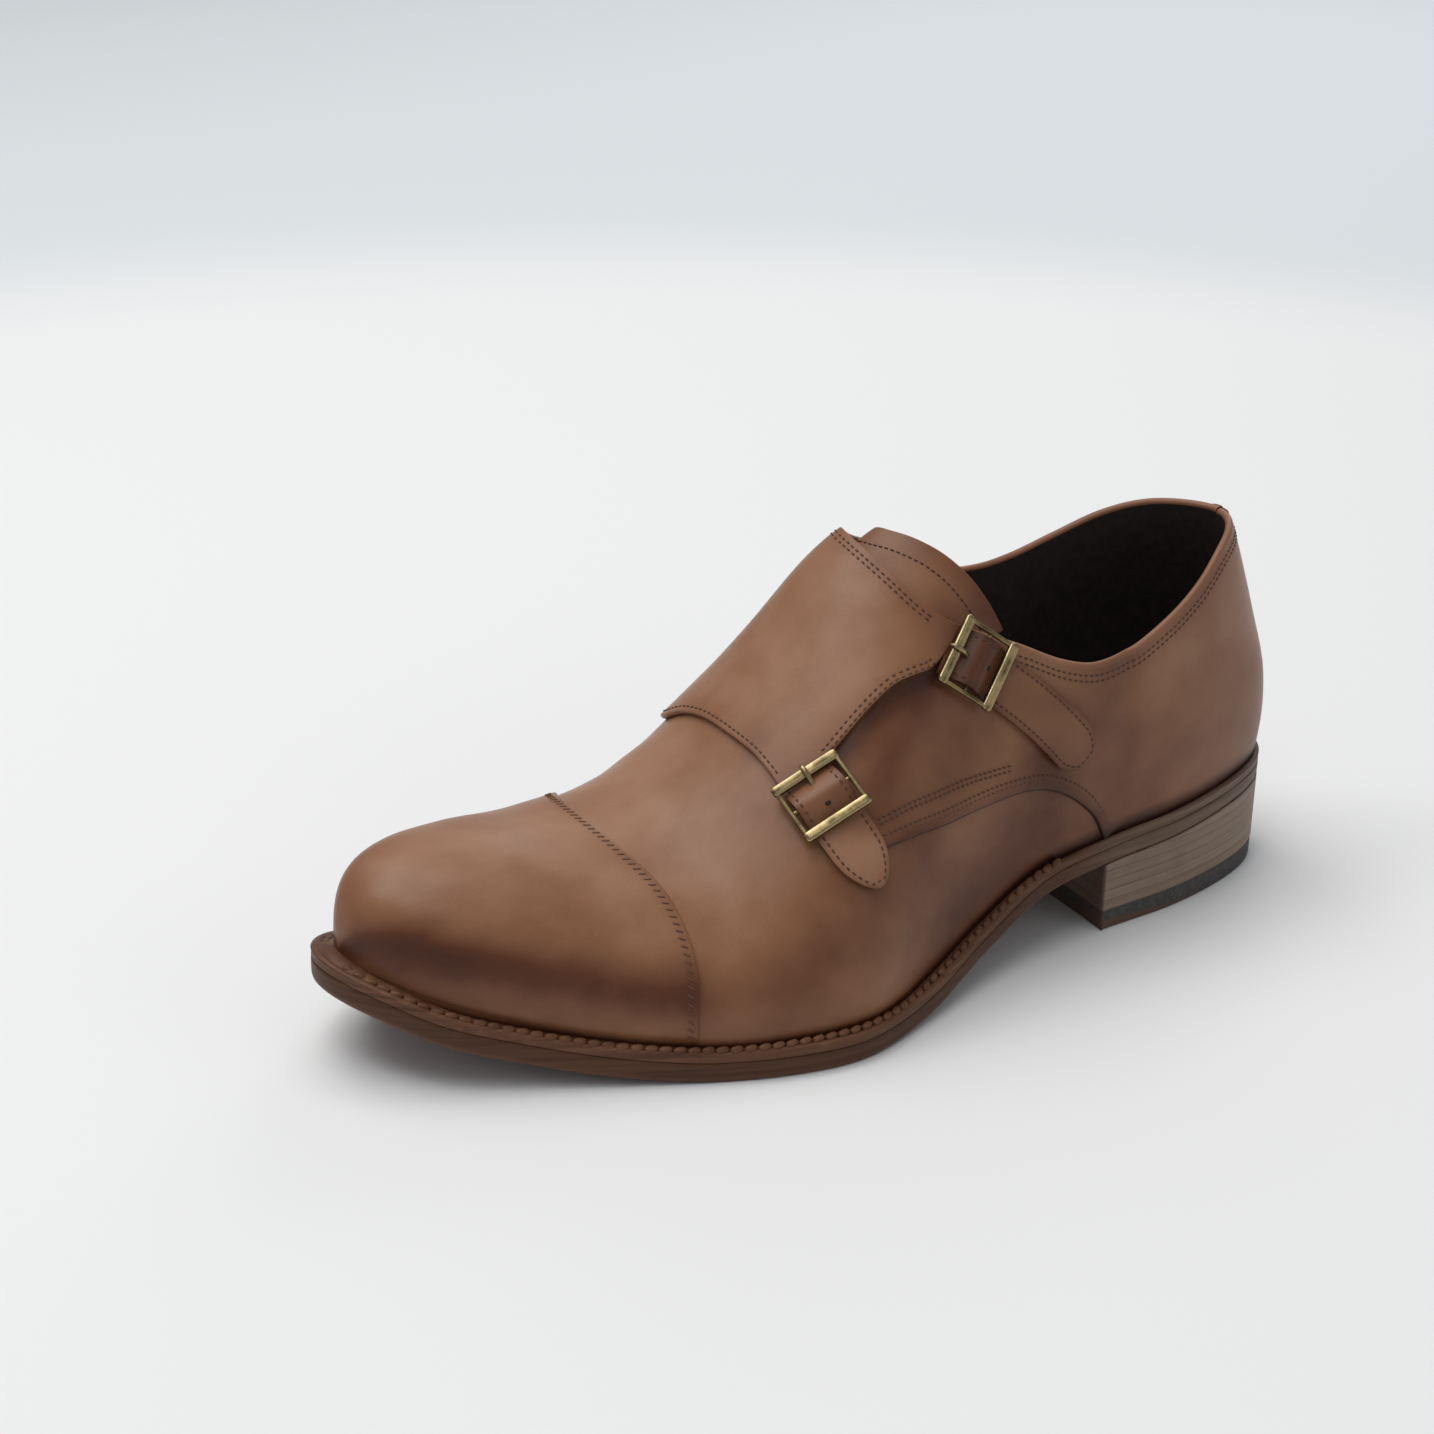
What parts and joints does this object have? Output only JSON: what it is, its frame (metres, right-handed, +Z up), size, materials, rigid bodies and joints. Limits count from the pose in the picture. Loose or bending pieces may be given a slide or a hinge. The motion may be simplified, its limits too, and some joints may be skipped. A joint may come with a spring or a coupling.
{
  "type": "monk strap shoe",
  "caption": "Left double monk strap dress shoe with a toe cap: closed hollow upper, flap over the instep held by short straps and rectangular buckles, welted leather sole and stacked heel.",
  "frame": {"origin": "centre of the footprint on the floor, under the middle of the shoe's box", "axes": "X runs from toe (-X) to heel (+X), Y from the outer, buckled side (-Y) to the inner side (+Y), Z up"},
  "size_m": [0.3003, 0.1147, 0.1177],
  "materials": {
    "upper_leather": "burnished, satin",
    "lining_leather": "matt",
    "welt_leather": "satin",
    "sole_edge_leather": "satin, worn",
    "heel_leather": "layered, satin",
    "top_piece_rubber": "matt",
    "buckle_brass": "antique, satin"
  },
  "bodies": {
    "root": {"outsole": "sole_edge_leather", "welt": "welt_leather", "heel_stack": "heel_leather", "heel_top_piece": "top_piece_rubber", "upper": "upper_leather", "toe_cap": "upper_leather", "tongue": "upper_leather", "insole": "lining_leather", "monk_flap": "upper_leather", "lower_strap": "upper_leather", "lower_buckle": "buckle_brass", "lower_prong": "buckle_brass", "upper_strap": "upper_leather", "upper_buckle": "buckle_brass", "upper_prong": "buckle_brass"}
  },
  "joints": []
}
